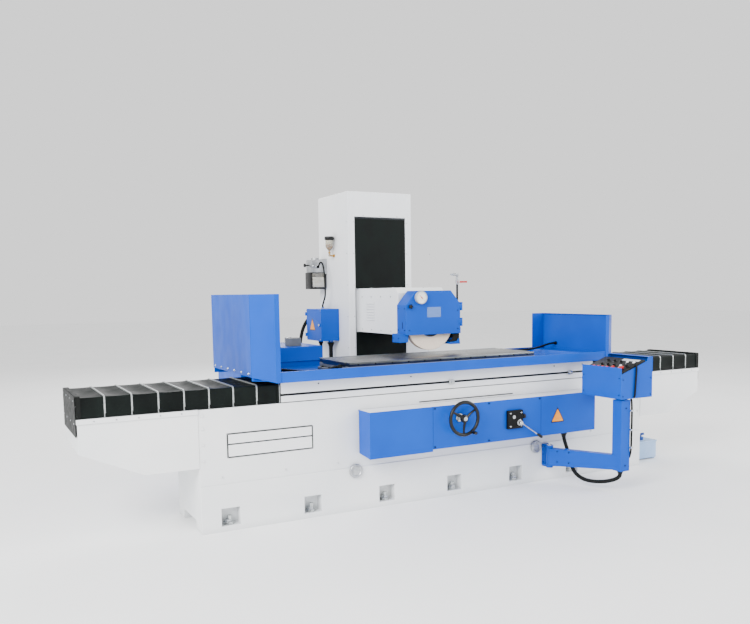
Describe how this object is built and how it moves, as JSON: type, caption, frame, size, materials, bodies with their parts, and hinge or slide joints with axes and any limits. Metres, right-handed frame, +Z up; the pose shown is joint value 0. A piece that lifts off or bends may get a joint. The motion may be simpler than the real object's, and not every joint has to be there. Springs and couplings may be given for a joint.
{
  "type": "surface grinder",
  "caption": "Column-moving hydraulic surface grinder: long bed with sliding table and magnetic chuck, bellows, column with vertical wheelhead, splash guards and pendant control box.",
  "frame": {"origin": "on the floor under the middle of the main bed casting", "axes": "+X along the table towards the pendant, +Y from the operator towards the column, +Z up"},
  "size_m": [5.118, 2.897, 2.3],
  "materials": {
    "blue_paint": "smooth gloss enamel",
    "white_paint": "semi-gloss machine enamel",
    "ground_steel": "ground",
    "cast_grey": "satin grey enamel",
    "tank_paint": "pale blue enamel",
    "pump_paint": "dark blue enamel",
    "black_plastic": "moulded",
    "black_rubber": "matt",
    "bellows_cloth": "coated cloth",
    "wheel_abrasive": "vitrified abrasive",
    "red_plastic": "moulded",
    "gauge_face": "printed dial under a clear cover",
    "clear_cup": "clear plastic cup",
    "bright_steel": "polished"
  },
  "bodies": {
    "bed": {"bed_casting": "white_paint", "troughs": "white_paint", "table_cylinder": "cast_grey", "levelling_screws": "ground_steel", "sight_plugs": "ground_steel", "front_covers": "blue_paint", "panel_screws": "black_plastic", "valve_box": "black_plastic", "cross_bed": "white_paint", "cross_motor": "cast_grey", "hydraulic_tank": "blue_paint", "hydraulic_motor": "cast_grey", "coolant_tank": "tank_paint", "coolant_pump": "pump_paint", "arm_bracket": "blue_paint", "pendant_conduit": "black_rubber", "bellows_left": "bellows_cloth", "bellows_right": "bellows_cloth"},
    "table": {"table_casting": "white_paint", "splash_tray": "blue_paint", "guard_left": "blue_paint", "guard_right": "blue_paint", "magnetic_chuck": "ground_steel", "cylinder_rod": "bright_steel", "chuck_cables": "black_rubber"},
    "dog_left": {"trip_dog_left": "ground_steel"},
    "dog_right": {"trip_dog_right": "ground_steel"},
    "column": {"column_casting": "white_paint", "column_saddle": "white_paint", "z_motor": "cast_grey", "junction_box": "blue_paint", "lubricator": "ground_steel", "oil_cup": "clear_cup", "apron_upper": "bellows_cloth", "apron_lower": "bellows_cloth", "column_conduits": "black_rubber"},
    "box_door": {"junction_door": "blue_paint"},
    "lubricator_handle": {"lubricator_knob": "black_plastic"},
    "feed_screw": {"cross_screw": "ground_steel"},
    "elevating_screw": {"z_screw": "ground_steel"},
    "head": {"head_housing": "white_paint", "spindle_motor": "cast_grey", "spindle_bearings": "bright_steel", "wheel_guard": "blue_paint", "coolant_pipe": "bright_steel"},
    "valve_lever": {"coolant_lever": "red_plastic"},
    "guard_cover": {"guard_door": "blue_paint", "door_gauge": "gauge_face"},
    "cover_knob": {"door_knob": "black_plastic"},
    "spindle": {"spindle_shaft": "ground_steel", "wheel_flange": "cast_grey", "grinding_wheel": "wheel_abrasive"},
    "wheel_hand": {"handwheel": "black_plastic"},
    "table_lever": {"speed_lever": "bright_steel"},
    "pendant": {"pendant_arm": "blue_paint"},
    "console": {"console_box": "blue_paint", "control_panel": "black_plastic"},
    "stop_button": {"e_stop": "red_plastic"},
    "start_button": {"cycle_button": "red_plastic"},
    "selector": {"selector_knob": "black_plastic"}
  },
  "joints": [
    {"name": "table_slide", "type": "slide", "parent": "bed", "child": "table", "axis": [1, 0, 0], "range_m": [-0.8, 0.8], "deforming": ["bellows_left", "bellows_right"]},
    {"name": "trip_dog_left_slide", "type": "slide", "parent": "table", "child": "dog_left", "axis": [1, 0, 0], "range_m": [-0.9, 0.3]},
    {"name": "trip_dog_right_slide", "type": "slide", "parent": "table", "child": "dog_right", "axis": [1, 0, 0], "range_m": [-0.5, 0.2]},
    {"name": "column_slide", "type": "slide", "parent": "bed", "child": "column", "axis": [0, 1, 0], "range_m": [-0.28, 0.27], "deforming": ["column_conduits"]},
    {"name": "feed_screw_turn", "type": "hinge", "parent": "bed", "child": "feed_screw", "pos_m": [0.04, 1, 0.52], "axis": [0, 1, 0], "continuous": true},
    {"name": "head_slide", "type": "slide", "parent": "column", "child": "head", "axis": [0, 0, 1], "range_m": [-0.03, 0.5], "deforming": ["apron_upper", "apron_lower"]},
    {"name": "elevating_screw_turn", "type": "hinge", "parent": "column", "child": "elevating_screw", "pos_m": [0.04, 1.03, 1.3], "axis": [0, 0, 1], "continuous": true},
    {"name": "box_door_hinge", "type": "hinge", "parent": "column", "child": "box_door", "pos_m": [-0.429, 1.396, 1.2], "axis": [0, 0, -1], "range_deg": [0, 85]},
    {"name": "lubricator_pull", "type": "slide", "parent": "column", "child": "lubricator_handle", "axis": [-1, 0, 0], "range_m": [0, 0.02], "stiffness_N_per_m": 300, "springref_m": -0.01},
    {"name": "spindle_spin", "type": "hinge", "parent": "head", "child": "spindle", "pos_m": [0.04, 0.12, 1.237], "axis": [0, 1, 0], "continuous": true},
    {"name": "valve_lever_turn", "type": "hinge", "parent": "head", "child": "valve_lever", "pos_m": [0.312, 0.117, 1.546], "axis": [0, -1, 0], "range_deg": [0, 90]},
    {"name": "guard_cover_hinge", "type": "hinge", "parent": "head", "child": "guard_cover", "pos_m": [0.298, 0.056, 1.3], "axis": [0, 0, 1], "range_deg": [0, 110]},
    {"name": "cover_knob_turn", "type": "hinge", "parent": "guard_cover", "child": "cover_knob", "pos_m": [-0.163, 0.045, 1.366], "axis": [0, -1, 0], "range_deg": [0, 270]},
    {"name": "handwheel_turn", "type": "hinge", "parent": "bed", "child": "wheel_hand", "pos_m": [-0.062, -0.4, 0.597], "axis": [0, -1, 0], "continuous": true},
    {"name": "table_lever_turn", "type": "hinge", "parent": "bed", "child": "table_lever", "pos_m": [0.445, -0.487, 0.519], "axis": [0, -1, 0], "range_deg": [0, 60]},
    {"name": "pendant_swing", "type": "hinge", "parent": "bed", "child": "pendant", "pos_m": [0.82, -0.365, 0.2], "axis": [0, 0, 1], "range_deg": [-75, 0], "deforming": ["pendant_conduit"]},
    {"name": "console_swivel", "type": "hinge", "parent": "pendant", "child": "console", "pos_m": [1.084, -0.832, 0.69], "axis": [0, 0, 1], "range_deg": [-90, 0]},
    {"name": "stop_button_press", "type": "slide", "parent": "console", "child": "stop_button", "axis": [0.332, 0, -0.9433], "range_m": [0, 0.004], "stiffness_N_per_m": 800, "springref_m": -0.003},
    {"name": "start_button_press", "type": "slide", "parent": "console", "child": "start_button", "axis": [0.332, 0, -0.9433], "range_m": [0, 0.004], "stiffness_N_per_m": 500, "springref_m": -0.003},
    {"name": "selector_turn", "type": "hinge", "parent": "console", "child": "selector", "pos_m": [1.11012, -0.852, 0.92339], "axis": [-0.332, 0, 0.9433], "range_deg": [-60, 60]}
  ],
  "couplings": [
    {"joint": "feed_screw_turn", "follows": "column_slide", "rad_per_m": 628.32},
    {"joint": "elevating_screw_turn", "follows": "head_slide", "rad_per_m": 628.32}
  ]
}
